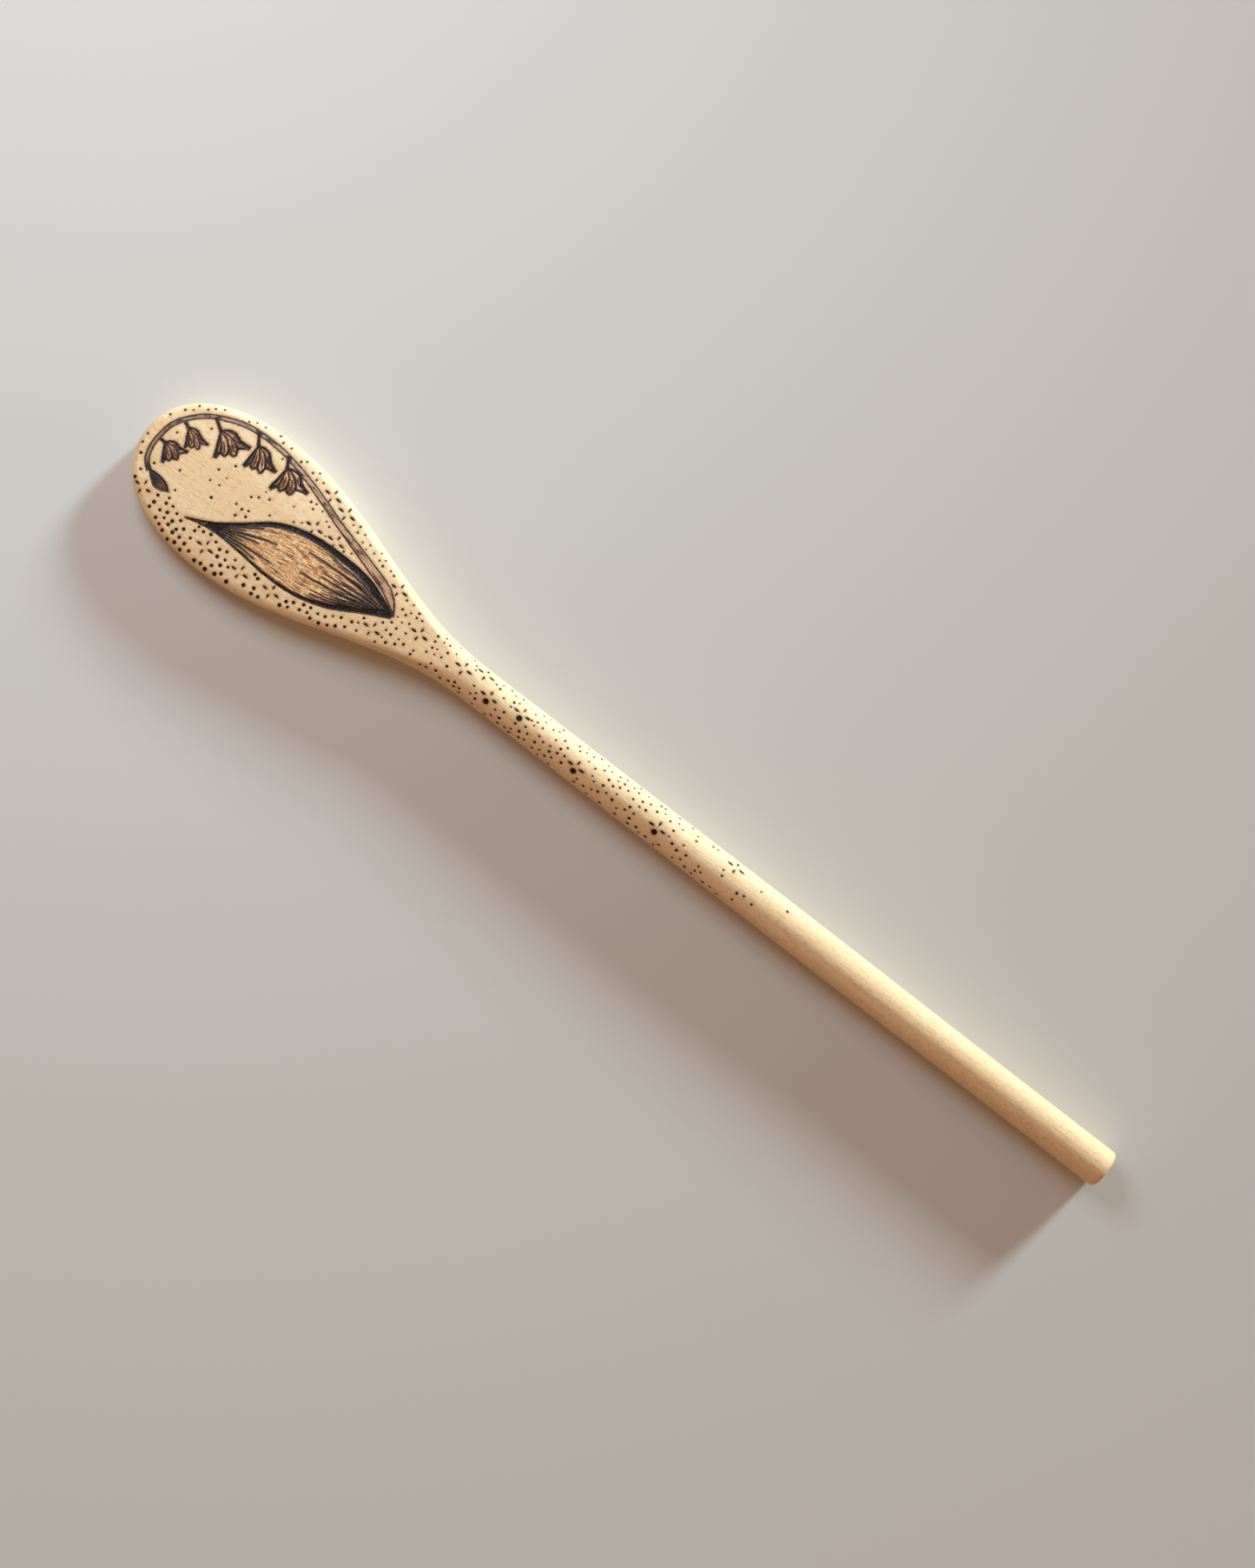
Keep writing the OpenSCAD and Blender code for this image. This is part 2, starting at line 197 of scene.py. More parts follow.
def top_height(x, y):
    """Planed and sanded back: gently crowned, its edges rounded, running out on the round neck."""
    place, gap = plan_place(x, y)
    rise = (AXIS_H + radius(np.float64(FLAT_END)) - TIP_H) / FLAT_END
    narrow = np.where(x < PEAK_AT, 1, radius(x) / HALF_W)
    edge = TIP_H + rise * x - CROWN * narrow
    edge_r = np.clip(edge - AXIS_H, LEAST_EDGE_R, EDGE_R)
    back = edge + CROWN * narrow * (1 - place**CROWN_POWER) - rounded(gap, edge_r)
    turned = AXIS_H + np.sqrt(np.maximum(radius(x) ** 2 - y**2, 0))
    return smooth_min(back, turned, BACK_BLEND)


def under_height(x, y):
    """Flat rim round the hollow of the bowl, and the round underside of the handle."""
    _, gap = plan_place(x, y)
    dish_w = HALF_W - RIM_W
    drop = (dish_w**2 - BOWL_DEPTH**2) / (2 * BOWL_DEPTH)
    before = 1 - signed_power(np.maximum(PEAK_AT - x, 0) / (PEAK_AT - RIM_W), OVAL)
    after = 1 - (np.maximum(x - PEAK_AT, 0) / (BOWL_END - PEAK_AT)) ** 2
    half = dish_w * np.where(x < PEAK_AT, signed_power(before, 1 / OVAL),
                             signed_power(after, DISH_TAPER))
    dish = np.sqrt(np.maximum(drop**2 + half * np.abs(half) - y**2, 0)) - drop
    # The soft join would lift the flat rim off the floor by about this much
    lifted = LIP_BLEND**2 / 40
    rim = smooth_max(rounded(gap, RIM_R), dish, LIP_BLEND) - lifted
    turned = AXIS_H - np.sqrt(np.maximum(radius(x) ** 2 - y**2, 0))
    return smooth_max(np.maximum(rim, 0), turned, BELLY_BLEND)


def stations():
    """Distances of the cross sections: close together over the drawing and wider on the handle."""
    nose = NOSE_SPAN * (1 - np.cos(np.linspace(0.01, np.pi / 2, NOSE_SECTIONS)))
    head = np.arange(NOSE_SPAN + HEAD_STEP, FLAT_END, HEAD_STEP)
    dotted = np.arange(FLAT_END, DOTS_END, DOTTED_STEP)
    plain = np.arange(DOTS_END, LENGTH - END_ROUND - PLAIN_STEP / 2, PLAIN_STEP)
    end = LENGTH - END_ROUND + END_ROUND * np.sin(np.linspace(0, np.pi / 2, END_SECTIONS))
    return np.concatenate([nose, head, dotted, plain, end])


def spread(y, z, count):
    """That many points along a section, closer together where it bends."""
    step_y, step_z = np.diff(y), np.diff(z)
    heading = np.unwrap(np.arctan2(step_z, step_y))
    bend = np.clip(np.abs(np.diff(heading, append=heading[-1])), 0, SHARPEST)
    along = np.concatenate([[0], np.cumsum(np.hypot(step_y, step_z) + BEND_LENGTH * bend)])
    even = np.linspace(0, along[-1], count)
    return np.stack([np.interp(even, along, y), np.interp(even, along, z)], axis=1)


def section(x):
    """One closed ring round the spoon, over the top from -Y to +Y and back underneath."""
    y = radius(x) * np.sin(np.linspace(-np.pi / 2, np.pi / 2, SECTION_SAMPLES))
    top = spread(y, np.maximum(top_height(x, y), AXIS_H), TOP_COLUMNS)
    under = spread(y, np.minimum(under_height(x, y), AXIS_H), UNDER_COLUMNS)[-2:0:-1]
    ring = np.concatenate([top, under])
    return np.column_stack([np.full(len(ring), x), ring])


def refine(grid, parts):
    """The grid with each cell cut into parts by parts, on the two triangles it is drawn as."""
    rows, columns = (np.arange((n - 1) * parts + 1) / parts for n in grid.shape[:2])
    i = np.minimum(rows.astype(int), grid.shape[0] - 2)[:, None]
    j = np.minimum(columns.astype(int), grid.shape[1] - 2)[None, :]
    spare = (1,) * (grid.ndim - 2)
    down = (rows[:, None] - i).reshape(-1, 1, *spare)
    over = (columns[None, :] - j).reshape(1, -1, *spare)
    near, after, far, beside = grid[i, j], grid[i + 1, j], grid[i + 1, j + 1], grid[i, j + 1]
    return near + np.where(down >= over, down * (after - near) + over * (far - after),
                           over * (beside - near) + down * (far - beside))


def grid_normals(grid):
    along = np.gradient(grid, axis=0)
    across = np.gradient(grid, axis=1)
    normal = np.cross(along, across)
    return normal / np.maximum(np.linalg.norm(normal, axis=2, keepdims=True), 1e-9)


def rough(points, scale, seed):
    """Smooth noise from about -1 to 1, by X and Y, with features of about the size of scale."""
    flat = points.reshape(-1, points.shape[-1]) / scale
    values = [noise.noise(Vector((p[0], p[1], seed))) for p in flat]
    return np.array(values).reshape(points.shape[:-1])


# ---- Outlines of the burned areas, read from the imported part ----


def head_chart(points):
    """The drawing on the flat back is laid out seen from above."""
    return points[..., :2]


def neck_chart(points):
    """Round the handle it is laid out by the distance along and the arc from the top."""
    turn = np.arctan2(points[..., 1], points[..., 2] - AXIS_H)
    return np.stack([points[..., 0], turn * radius(points[..., 0])], axis=-1)


def outlines(node, chart):
    """Closed loops round the top faces of a burned node, as points of the chart."""
    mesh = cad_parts[node].data
    points = np.array([v.co for v in mesh.vertices]) / MM + [LENGTH / 2, 0, 0]
    points, merged = np.unique(points.round(3), axis=0, return_inverse=True)
    corners = merged.reshape(-1)[np.array([p.vertices[:] for p in mesh.polygons])]
    a, b, c = (points[corners[:, k]] for k in range(3))
    normal = np.cross(b - a, c - a)
    outward = np.array([0, 0, 1.0]) if chart is head_chart else a * [0, 1, 1] - [0, 0, AXIS_H]
    facing = (normal * outward).sum(1)
    top = facing > 0.5 * np.linalg.norm(normal, axis=1) * np.linalg.norm(outward, axis=-1)
    edges = {}
    for tri in corners[top].tolist():
        for edge in zip(tri, tri[1:] + tri[:1]):
            edges[edge] = True
    follow = {}
    for start, end in edges:
        if (end, start) not in edges:
            follow.setdefault(start, []).append(end)
    flat = chart(points)
    loops = []
    while follow:
        start = next(iter(follow))
        loop, here = [], start
        while here in follow:
            loop.append(here)
            ways = follow[here]
            here = ways.pop()
            if not ways:
                del follow[loop[-1]]
        if len(loop) > 2:
            loops.append(flat[loop])
    return loops


def depth_inside(places, loops):
    """How far each place is inside the loops, or minus how far outside, up to the reach."""
    reach = 1.5
    gap = np.full(places.shape[:2], reach**2)
    inside = np.zeros(places.shape[:2], bool)
    for loop in loops:
        near = ((places > loop.min(0) - reach) & (places < loop.max(0) + reach)).all(2)
        rows = np.flatnonzero(near.any(1))
        columns = np.flatnonzero(near.any(0))
        if not len(rows):
            continue
        window = np.s_[rows[0]:rows[-1] + 1, columns[0]:columns[-1] + 1]
        x, y = places[window][..., 0], places[window][..., 1]
        for (ax, ay), (bx, by) in zip(loop, np.roll(loop, -1, axis=0)):
            to_x, to_y, off_x, off_y = bx - ax, by - ay, x - ax, y - ay
            size = to_x**2 + to_y**2
            if size < 1e-12:
                continue
            t = np.clip((off_x * to_x + off_y * to_y) / size, 0, 1)
            far = (off_x - t * to_x) ** 2 + (off_y - t * to_y) ** 2
            gap[window] = np.minimum(gap[window], far)
            if ay != by:
                crossed = ((ay > y) != (by > y)) & (off_x < to_x * off_y / to_y)
                inside[window] ^= crossed
    return np.where(inside, 1, -1) * np.sqrt(gap)


# ---- Pieces ----


def add_mesh(name, points, faces, values, material):
    """A smooth-shaded piece that rides on the body, from points in millimetres from the tip."""
    mesh = bpy.data.meshes.new(name)
    mesh.from_pydata(((points - [LENGTH / 2, 0, 0]) * MM).tolist(), [], faces)
    for key, value in values.items():
        mesh.attributes.new(key, "FLOAT", "POINT").data.foreach_set("value", value)
    mesh.polygons.foreach_set("use_smooth", [True] * len(mesh.polygons))
    mesh.materials.append(material)
    mesh.update()
    piece = bpy.data.objects.new(name, mesh)
    bpy.context.scene.collection.objects.link(piece)
    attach(piece, "root")
    return piece


def cap(rings, ring, faces, flip):
    """Closes the end of the body with shrinking rings and a middle point."""
    points = rings[ring]
    middle = points.mean(0)
    count = len(points)
    outer = np.arange(count) + ring % len(rings) * count
    extra = []
    base = len(rings) * count + (0 if flip else 2 * count + 1)
    for shrink in (0.66, 0.33):
        inner = base + len(extra) + np.arange(count)
        extra.extend(middle + (points - middle) * shrink)
        for k in range(count):
            quad = [outer[k], outer[(k + 1) % count], inner[(k + 1) % count], inner[k]]
            faces.append([int(v) for v in (quad[::-1] if flip else quad)])
        outer = inner
    extra.append(middle)
    tip = base + len(extra) - 1
    for k in range(count):
        tri = [outer[k], outer[(k + 1) % count], tip]
        faces.append([int(v) for v in (tri[::-1] if flip else tri)])
    return np.array(extra)


def body_faces(rows, count):
    """Quads between neighbouring rings, facing outward."""
    at = np.arange(rows * count).reshape(rows, count)
    after = np.roll(at, -1, axis=1)
    quads = np.stack([at[:-1], at[1:], after[1:], after[:-1]], axis=-1)
    return quads.reshape(-1, 4).tolist()


def trace(field):
    """Faces of the part of the fine grid where the field is above zero, cut along its zero line.

    Each spot is two neighbouring grid corners and how far it is from the first to the second."""
    above = field > 0
    spots, index, faces, rim = [], {}, [], []

    def spot(a, b, share):
        if (a, b) not in index:
            index[a, b] = len(spots)
            spots.append((a, b, share))
        return index[a, b]

    busy = above[:-1, :-1] | above[1:, :-1] | above[:-1, 1:] | above[1:, 1:]
    for i, j in np.argwhere(busy).tolist():
        ring = [(i, j), (i + 1, j), (i + 1, j + 1), (i, j + 1)]
        face, left = [], None
        for a, b in zip(ring, ring[1:] + ring[:1]):
            if above[a]:
                face.append(spot(a, a, 0.0))
            if above[a] != above[b]:
                start, end = min(a, b), max(a, b)
                face.append(spot(start, end, field[start] / (field[start] - field[end])))
                if above[a]:
                    left = face[-1]
                elif left is not None:
                    rim.append((left, face[-1]))
                    left = None
        if left is not None:
            rim.append((left, face[0]))
        faces.append(face)
    return spots, faces, rim


def burned_piece(name, field, values, material):
    """A thin closed piece of charred wood that lies in its groove and a little proud of it."""
    spots, faces, rim = trace(field)
    first = tuple(np.array([s[0] for s in spots]).T)
    second = tuple(np.array([s[1] for s in spots]).T)
    share = np.array([s[2] for s in spots])

    def at_spots(grid):
        part = share.reshape((-1,) + (1,) * (grid.ndim - 2))
        return grid[first] * (1 - part) + grid[second] * part

    place, normal, depth = at_spots(fine_points), at_spots(fine_normals), at_spots(field)
    crust = CRUST * (0.5 + 0.5 * rough(place[:, :2], 0.35, 7.7))
    lift = (FILM * np.clip(EDGE_FILM + depth / FILM_FULL_AT, 0, 1)
            + crust * np.clip(depth / CRUST_FULL_AT, 0, 1))
    points = np.concatenate([place + normal * lift[:, None], place - normal * ROOT])
    count = len(place)
    faces += [[v + count for v in reversed(face)] for face in faces]
    faces += [[b, a, a + count, b + count] for a, b in rim]
    own = {key: np.tile(at_spots(grid), 2) for key, grid in values.items()}
    own["depth"] = np.tile(depth, 2)
    return add_mesh(name, points, faces, own, material)


# ---- Node helpers for the materials ----


class Shader:
    """Short ways to build one node-based material."""

    def __init__(self, name, slot):
        self.material = bpy.data.materials.new(name)
        self.material.use_nodes = True
        self.tree = self.material.node_tree
        self.surface = self.tree.nodes["Principled BSDF"]
        self.slot = slot
        self.place = self.add("ShaderNodeTexCoord").outputs["Object"]

    def add(self, kind, links=None, **settings):
        node = self.tree.nodes.new(kind)
        for key, value in settings.items():
            setattr(node, key, value)
        for key, value in (links or {}).items():
            self.set(node.inputs[key], value)
        return node

    def set(self, socket, value):
        if isinstance(value, bpy.types.NodeSocket):
            self.tree.links.new(value, socket)
        else:
            socket.default_value = value

    def attribute(self, name):
        return self.add("ShaderNodeAttribute", attribute_name=name).outputs["Fac"]

    def math(self, operation, a, b=0.0, clamp=False):
        node = self.add("ShaderNodeMath", {0: a, 1: b}, operation=operation, use_clamp=clamp)
        return node.outputs[0]

    def stretch(self, vector, scale):
        return self.add("ShaderNodeMapping", {"Vector": vector, "Scale": scale}).outputs[0]

    def noise(self, vector, detail=3.0, roughness=0.5, distortion=0.0):
        node = self.add("ShaderNodeTexNoise", {"Vector": vector, "Scale": 1.0, "Detail": detail,
                                               "Roughness": roughness, "Distortion": distortion})
        return node.outputs["Fac"]

    def ramp(self, value, low, high, start=0.0, end=1.0):
        node = self.add("ShaderNodeMapRange", {"Value": value, "From Min": low, "From Max": high,
                                               "To Min": start, "To Max": end},
                        interpolation_type="SMOOTHSTEP")
        return node.outputs["Result"]

    def mix(self, factor, a, b, blend_type="MIX"):
        node = self.add("ShaderNodeMix", data_type="RGBA", blend_type=blend_type)
        self.set(node.inputs["Factor"], factor)
        self.set(node.inputs["A"], a)
        self.set(node.inputs["B"], b)
        return node.outputs["Result"]

    def bump(self, height, distance, strength=1.0):
        node = self.add("ShaderNodeBump", {"Height": height, "Distance": distance,
                                           "Strength": strength})
        self.set(self.surface.inputs["Normal"], node.outputs[0])

    def combine(self, x, y, z=0.0):
        return self.add("ShaderNodeCombineXYZ", {0: x, 1: y, 2: z}).outputs[0]


def colour(red, green, blue):
    """Linear colour from sRGB levels of 0 to 255."""
    def line(c):
        c /= 255
        return c / 12.92 if c <= 0.04045 else ((c + 0.055) / 1.055) ** 2.4
    return (line(red), line(green), line(blue), 1.0)


# ---- Materials ----


def bare_wood():
    """Pale close-grained wood: long soft grain, fine dark pores, toasted round the burned areas."""
    s = Shader("bare_wood", "bare_wood")
    broad = s.noise(s.stretch(s.place, (9, 150, 110)), 2.0, 0.5, 0.6)
    fine = s.noise(s.stretch(s.place, (28, 1500, 1500)), 3.0, 0.6, 0.3)
    pores = s.noise(s.stretch(s.place, (420, 5200, 5200)), 1.0)
    patches = s.noise(s.stretch(s.place, (30, 60, 60)), 2.0)
    specks = s.noise(s.stretch(s.place, (650, 1500, 1500)), 3.0, 0.7)
    tone = s.mix(s.ramp(broad, 0.3, 0.7), colour(235, 201, 155), colour(244, 217, 174))
    tone = s.mix(s.math("MULTIPLY", s.ramp(fine, 0.48, 0.72), 0.35), tone, colour(221, 182, 132))
    tone = s.mix(s.math("MULTIPLY", s.ramp(pores, 0.66, 0.8), 0.3), tone, colour(184, 139, 92))
    tone = s.mix(s.math("MULTIPLY", s.ramp(patches, 0.45, 0.75), 0.22), tone,
                 colour(231, 188, 138))
    tone = s.mix(s.math("MULTIPLY", s.ramp(specks, 0.48, 0.66), 0.5), tone, colour(208, 166, 116))
    petal = s.attribute("petal")
    strokes = s.noise(s.combine(s.math("MULTIPLY", s.attribute("fan"), 9.0),
                                s.math("MULTIPLY", s.attribute("reach"), 1.6)), 2.0, 0.6)
    tone = s.mix(s.math("MULTIPLY", petal, 0.4), tone, colour(214, 164, 112))
    tone = s.mix(s.math("MULTIPLY", petal, s.ramp(strokes, 0.46, 0.57)), tone, colour(64, 38, 26))
    toast = s.attribute("toast")
    uneven = s.math("MULTIPLY", toast, s.ramp(s.noise(s.stretch(s.place, (900, 900, 900)), 2.0),
                                              0.25, 0.7, 0.55, 1.15), clamp=True)
    tone = s.mix(s.math("MULTIPLY", uneven, 0.7), tone, colour(150, 88, 42))
    s.set(s.surface.inputs["Base Color"], tone)
    s.set(s.surface.inputs["Roughness"], s.ramp(fine, 0.3, 0.75, 0.54, 0.7))
    s.surface.inputs["Specular IOR Level"].default_value = 0.25
    s.bump(s.math("ADD", s.math("ADD", fine, s.math("MULTIPLY", pores, 0.8)), specks), 0.00007, 0.7)
    return s.material


def char(s):
    """Black crusty char with a dull sheen, browner and duller towards its rim."""
    crust = s.noise(s.stretch(s.place, (1700, 1700, 1700)), 3.0, 0.6)
    edge = s.ramp(s.attribute("depth"), 0.0, 0.16)
    black = s.mix(s.ramp(crust, 0.35, 0.7), colour(11, 8, 7), colour(34, 26, 23))
    return s.mix(edge, colour(84, 50, 30), black), crust


def charred_wood(name, faint=0.0):
    """Charred marks, which may be fainter and browner on the +Y side of the drawing,
    with painted bluish-grey highlights in spots.
    """
    s = Shader(name, "charred_wood")
    tone, crust = char(s)
    side = s.add("ShaderNodeSeparateXYZ", {0: s.place}).outputs["Y"]
    tone = s.mix(s.math("MULTIPLY", s.ramp(side, -0.002, 0.016), faint), tone, colour(122, 78, 46))
    # Painted highlight: bluish-grey glints mixed into the char colour in noise spots
    painted_glint_noise = s.noise(s.stretch(s.place, (700, 420, 420)), 2.0, 0.6)
    tone = s.mix(s.math("MULTIPLY", s.ramp(painted_glint_noise, 0.58, 0.7), 0.36 - faint * 0.6), tone,
                 colour(92, 96, 108))
    s.set(s.surface.inputs["Base Color"], tone)
    s.set(s.surface.inputs["Roughness"], s.ramp(crust, 0.3, 0.75, 0.3, 0.52))
    s.surface.inputs["Specular IOR Level"].default_value = 0.27
    s.bump(crust, 0.00016, 0.9)
    return s.material


def scorched_strip(name, outline, dark, light):
    """Brown scorched wood inside a black line, with darker streaks and patches along it."""
    s = Shader(name, "scorched_wood")
    black, crust = char(s)
    along, depth = s.attribute("along"), s.attribute("depth")
    streak = s.noise(s.combine(s.math("MULTIPLY", along, 0.35),
                               s.math("MULTIPLY", depth, 9.0)), 3.0, 0.65)
    patch = s.noise(s.stretch(s.place, (260, 520, 520)), 2.0, 0.6)
    brown = s.mix(s.ramp(streak, 0.3, 0.7), dark, light)
    brown = s.mix(s.ramp(s.math("ADD", s.math("MULTIPLY", streak, 0.6), patch), 0.84, 0.96), brown,
                  colour(62, 36, 24))
    brown = s.mix(s.ramp(along, 2.0, 42.0, 0.55, 0.0), brown, colour(104, 64, 42))
    wander = s.ramp(s.noise(s.combine(s.math("MULTIPLY", along, 0.1), 3.0)), 0.3, 0.7, 0.3, 1.1)
    thread = s.ramp(s.math("ABSOLUTE", s.math("SUBTRACT", depth, wander)), 0.06, 0.13, 1.0, 0.0)
    brown = s.mix(s.math("MULTIPLY", thread, s.ramp(patch, 0.42, 0.55)), brown, colour(48, 27, 18))
    joint = s.add("ShaderNodeVectorMath", {0: s.place, 1: BUD_JOINT},
                  operation="DISTANCE").outputs["Value"]
    brown = s.mix(s.ramp(s.math("ADD", joint, s.math("MULTIPLY", patch, 0.002)), 0.0032, 0.0052,
                         1.0, 0.0), brown, colour(28, 18, 14))
    line = s.ramp(s.math("ADD", depth, s.math("MULTIPLY", crust, -0.2)), outline, outline + 0.16)
    s.set(s.surface.inputs["Base Color"], s.mix(line, black, brown))
    s.set(s.surface.inputs["Roughness"], s.ramp(crust, 0.3, 0.75, 0.38, 0.56))
    s.bump(s.math("ADD", s.math("MULTIPLY", line, 0.6), crust), 0.0001, 0.7)
    return s.material


def scorched_leaf():
    """Light brown mottled wood with dark streaks that fan out from both tips of the leaf."""
    s = Shader("scorched_leaf", "scorched_wood")
    along, across = s.attribute("reach"), s.attribute("share")
    veins = s.noise(s.combine(s.math("MULTIPLY", along, 7.0), s.math("MULTIPLY", across, 26.0)),
                    3.0, 0.6)
    threads = s.noise(s.combine(s.math("MULTIPLY", along, 16.0), s.math("MULTIPLY", across, 52.0)),
                      2.0, 0.55)
    mottle = s.noise(s.stretch(s.place, (1300, 1900, 1900)), 3.0, 0.7)
    from_middle = s.math("ABSOLUTE", s.math("SUBTRACT", along, 0.45))
    tips = s.ramp(from_middle, 0.05, 0.42)
    light = s.mix(s.ramp(mottle, 0.4, 0.6), colour(214, 150, 86), colour(248, 214, 162))
    light = s.mix(s.ramp(threads, 0.51, 0.6), light, colour(140, 78, 38))
    reach = s.math("SUBTRACT", 0.61, s.math("MULTIPLY", tips, 0.15))
    dark = s.ramp(s.math("SUBTRACT", veins, reach), -0.02, 0.05)
    tone = s.mix(dark, light, colour(46, 24, 15))
    rim = s.ramp(s.attribute("depth"), 0.0, 0.45, 0.85, 0.0)
    s.set(s.surface.inputs["Base Color"], s.mix(rim, tone, colour(66, 38, 22)))
    s.set(s.surface.inputs["Roughness"], s.ramp(mottle, 0.3, 0.7, 0.42, 0.6))
    s.bump(s.math("ADD", mottle, s.math("MULTIPLY", dark, -1.0)), 0.0001, 0.6)
    return s.material


def studio_floor():
    s = Shader("studio_floor", None)
    s.surface.inputs["Base Color"].default_value = colour(207, 203, 197)
    s.surface.inputs["Roughness"].default_value = 0.75
    return s.material


# ---- The body: sections, burned grooves and scorched surroundings ----

rings = np.array([section(x) for x in stations()])
top = rings[:, :TOP_COLUMNS]
plain = refine(top, FINE)
wobble = sum(height * rough(plain, size, seed) for height, size, seed in WOBBLE)

fields = {}
for node in HEAD_MARKS + NECK_MARKS:
    chart = head_chart if node in HEAD_MARKS else neck_chart
    fields[node] = depth_inside(chart(plain), outlines(node, chart))
    if node != "leaf_blade":
        fields[node] += (DOT_WOBBLE if node in DOTS else 1.0) * wobble

groove = np.zeros(plain.shape[:2])
toast = np.zeros(plain.shape[:2])
for node, field in fields.items():
    inward = np.clip(field / GROOVE_FULL_AT, 0, 1) ** GROOVE_POWER
    groove = np.maximum(groove, SHALLOW_GROOVE.get(node, GROOVE) * inward)
    heat, reached = DOT_TOAST if node in DOTS else LINE_TOAST
    toast = np.maximum(toast, heat * np.exp(-np.maximum(-field, 0) / reached))

from_side = np.minimum(np.arange(TOP_COLUMNS), np.arange(TOP_COLUMNS)[::-1])
from_end = np.minimum(top[..., 0], LENGTH - top[..., 0])
fade = np.clip(from_side / FADE_COLUMNS, 0, 1) * np.clip(from_end / FADE_LENGTH, 0, 1)
waves = WAVE_H * rough(top, WAVE_SIZE, WAVE_SEED) * fade
top += grid_normals(top) * (waves - groove[::FINE, ::FINE])[..., None]
fine_points = refine(top, FINE)
fine_normals = refine(grid_normals(top), FINE)

body = body_faces(*rings.shape[:2])
ends = [cap(rings, 0, body, True), cap(rings, -1, body, False)]
body_points = np.concatenate([rings.reshape(-1, 3), *ends])


def on_body(grid):
    """Values for every point of the body from values on the grid of its top."""
    values = np.zeros(len(body_points))
    values[:rings.shape[0] * rings.shape[1]].reshape(rings.shape[:2])[:, :TOP_COLUMNS] = grid
    return values


# Inside a bell: 1 on its petals, the way that its hatching fans out, and how far down it is
petal, fan, reach = (np.zeros(top.shape[:2]) for _ in range(3))
under_edge = -0.1
fan_from = 0.25
for number, (x, y, turn, height, half_width) in enumerate(BELLS, 1):
    loops = outlines("bell_%d" % number, head_chart)
    outer = max(loops, key=lambda loop: np.ptp(loop[:, 0]))
    within = depth_inside(top[..., :2], [outer]) > under_edge
    turn = math.radians(turn)
    down = ((top[..., 0] - x) * math.cos(turn) + (top[..., 1] - y) * math.sin(turn)) / height
    aside = ((top[..., 1] - y) * math.cos(turn) - (top[..., 0] - x) * math.sin(turn)) / half_width
    petal[within] = 1
    fan[within] = (np.arctan2(aside, down + fan_from) + number * 7)[within]
    reach[within] = down[within]
body_values = {"toast": on_body(toast[::FINE, ::FINE]), "petal": on_body(petal),
               "fan": on_body(fan), "reach": on_body(reach)}
spoon = add_mesh("sanded_spoon", body_points, body, body_values, bare_wood())
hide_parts("wooden_spoon")

# ---- The burned areas ----

# Foot and crest of the leaf, from points spread along its outline
share = np.linspace(0, 1, 40)[:, None, None]
leaf = np.concatenate([((1 - share) * loop + share * np.roll(loop, -1, axis=0)).reshape(-1, 2)
                       for loop in outlines("leaf_outline", head_chart)])
window = 0.3
thinnest = 0.3
leaf_x = np.arange(leaf[:, 0].min() + window, leaf[:, 0].max() - window, 0.5)
edges = [leaf[np.abs(leaf[:, 0] - x) < window][:, 1] for x in leaf_x]
foot = np.interp(plain[..., 0], leaf_x, [e.min() for e in edges])
crest = np.interp(plain[..., 0], leaf_x, [e.max() for e in edges])
leaf_values = {"reach": (plain[..., 0] - leaf_x[0]) / (leaf_x[-1] - leaf_x[0]),
               "share": (plain[..., 1] - foot) / np.maximum(crest - foot, thinnest)}
strip_values = {"along": plain[..., 0]}

lines = charred_wood("charred_lines")
dots = charred_wood("charred_dots", 0.6)
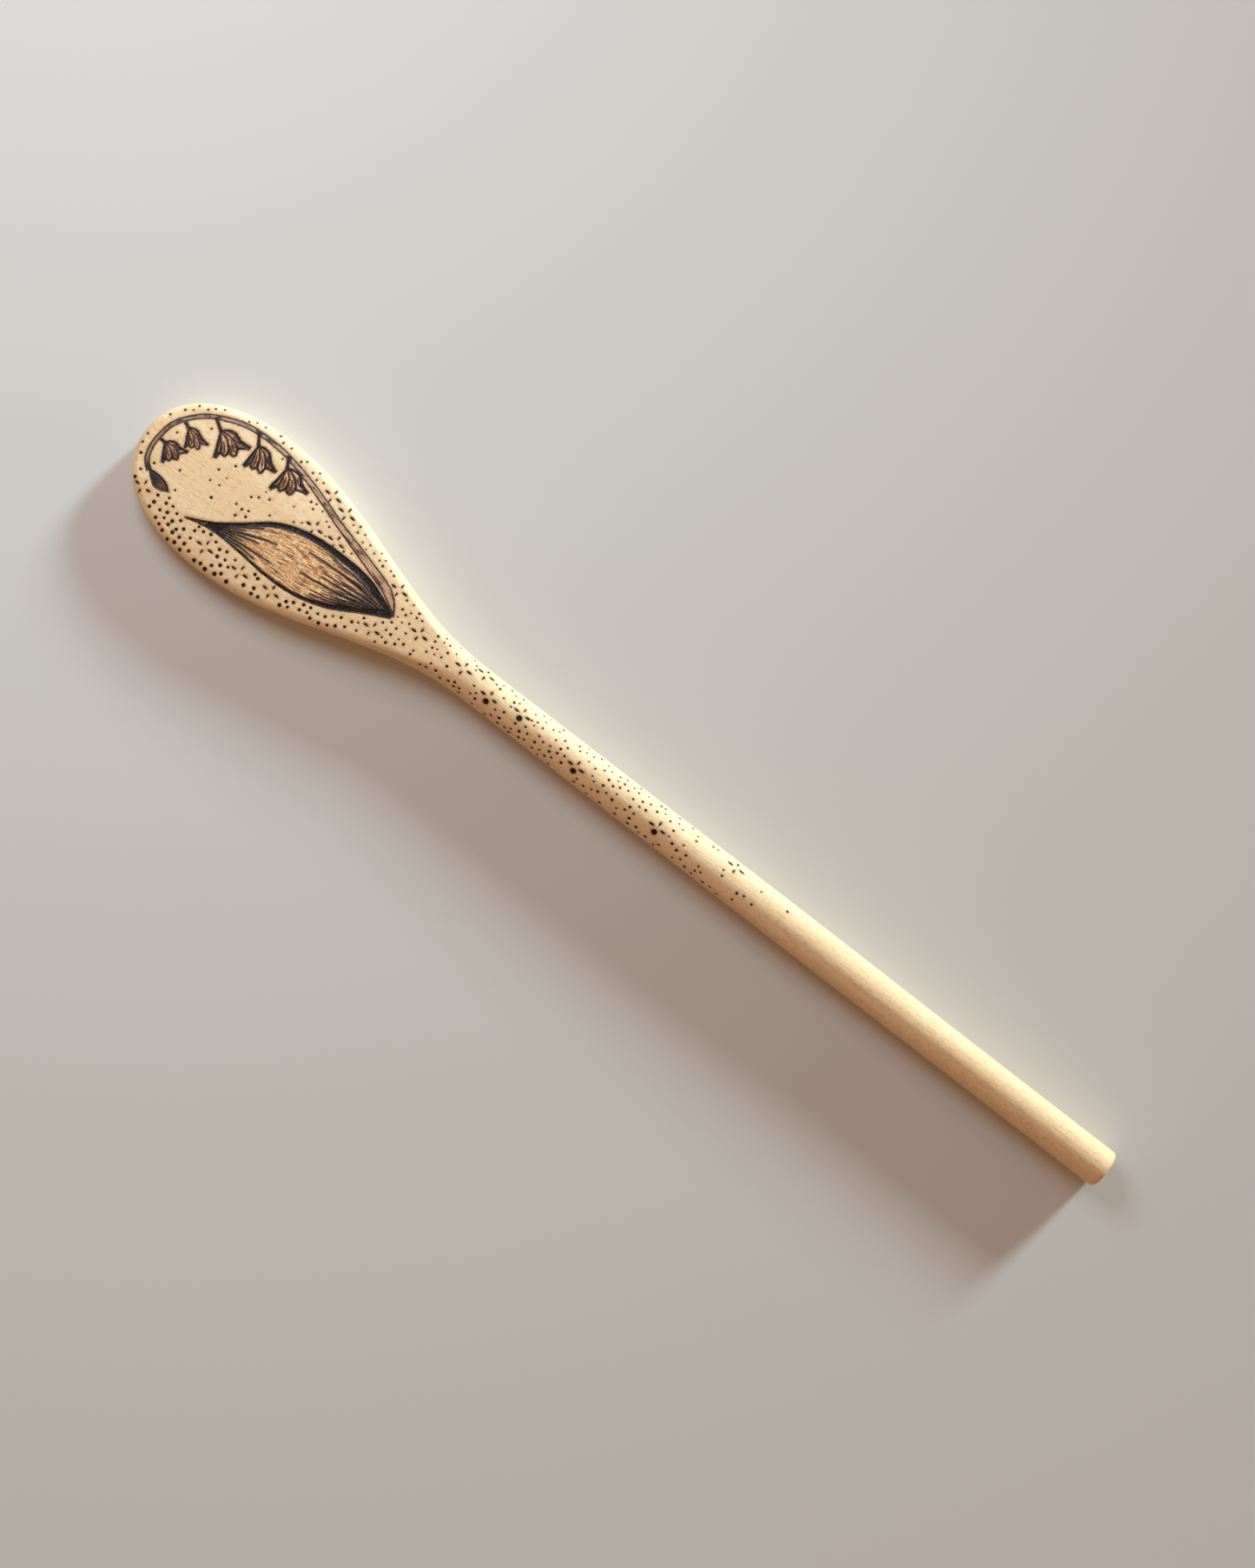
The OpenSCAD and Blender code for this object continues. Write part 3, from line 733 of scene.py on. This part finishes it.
# What each scorched area is made of. Every other area is charred
SCORCHED = {
    "leaf_blade": (scorched_leaf, (), leaf_values),
    "stem": (scorched_strip, ("scorched_stem", 0.2, colour(162, 110, 78), colour(222, 180, 142)),
             strip_values),
    "bud": (scorched_strip, ("scorched_bud", 0.45, colour(48, 28, 20), colour(126, 76, 48)),
            strip_values),
}
for node, field in fields.items():
    if node in SCORCHED:
        make, given, values = SCORCHED[node]
        material, slot = make(*given), "scorched_wood"
    else:
        values = {}
        material, slot = dots if node in DOTS else lines, "charred_wood"
    piece = burned_piece("burned_" + node, field, values, material)
    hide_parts(node)

# ---- Floor, light and camera ----


def aim(thing, target):
    away = thing.location - Vector(target)
    thing.rotation_euler = away.to_track_quat("Z", "Y").to_euler()


def light(name, kind, place, strength, tint, **settings):
    lamp = bpy.data.lights.new(name, kind)
    lamp.energy = strength
    lamp.color = tint
    for key, value in settings.items():
        setattr(lamp, key, value)
    thing = bpy.data.objects.new(name, lamp)
    thing.location = place
    thing.visible_camera = False
    bpy.context.scene.collection.objects.link(thing)
    aim(thing, (0, 0, 0))


floor_mesh = bpy.data.meshes.new("floor")
half = 40.0
floor_gap = 0.0002
floor_mesh.from_pydata([(-half, -half, 0), (half, -half, 0), (half, half, 0), (-half, half, 0)],
                       [], [(0, 1, 2, 3)])
floor_mesh.materials.append(studio_floor())
floor = bpy.data.objects.new("floor", floor_mesh)
floor.location.z = cad_box[0].z - floor_gap
bpy.context.scene.collection.objects.link(floor)

light("key", "SUN", (0.15, 1.0, 0.24), 5.0, (0.68, 0.9, 1.0), angle=math.radians(9))
light("fill", "AREA", (-0.34, 0.18, 0.36), 1.42, (0.75, 0.88, 1.0), shape="DISK", size=0.3)

world = bpy.data.worlds.new("studio")
world.use_nodes = True
world.node_tree.nodes["Background"].inputs["Color"].default_value = (1.0, 0.6, 0.36, 1.0)
world.node_tree.nodes["Background"].inputs["Strength"].default_value = 0.35
bpy.context.scene.world = world
bpy.context.scene.view_settings.view_transform = "Standard"

camera_data = bpy.data.cameras.new("camera")
camera_data.lens = 70
camera_data.clip_start = 0.01
camera = bpy.data.objects.new("camera", camera_data)
camera.location = (-0.0021, 0.0035, 0.773)
camera.rotation_euler = (0, 0, math.radians(37.73))
bpy.context.scene.collection.objects.link(camera)
bpy.context.scene.camera = camera
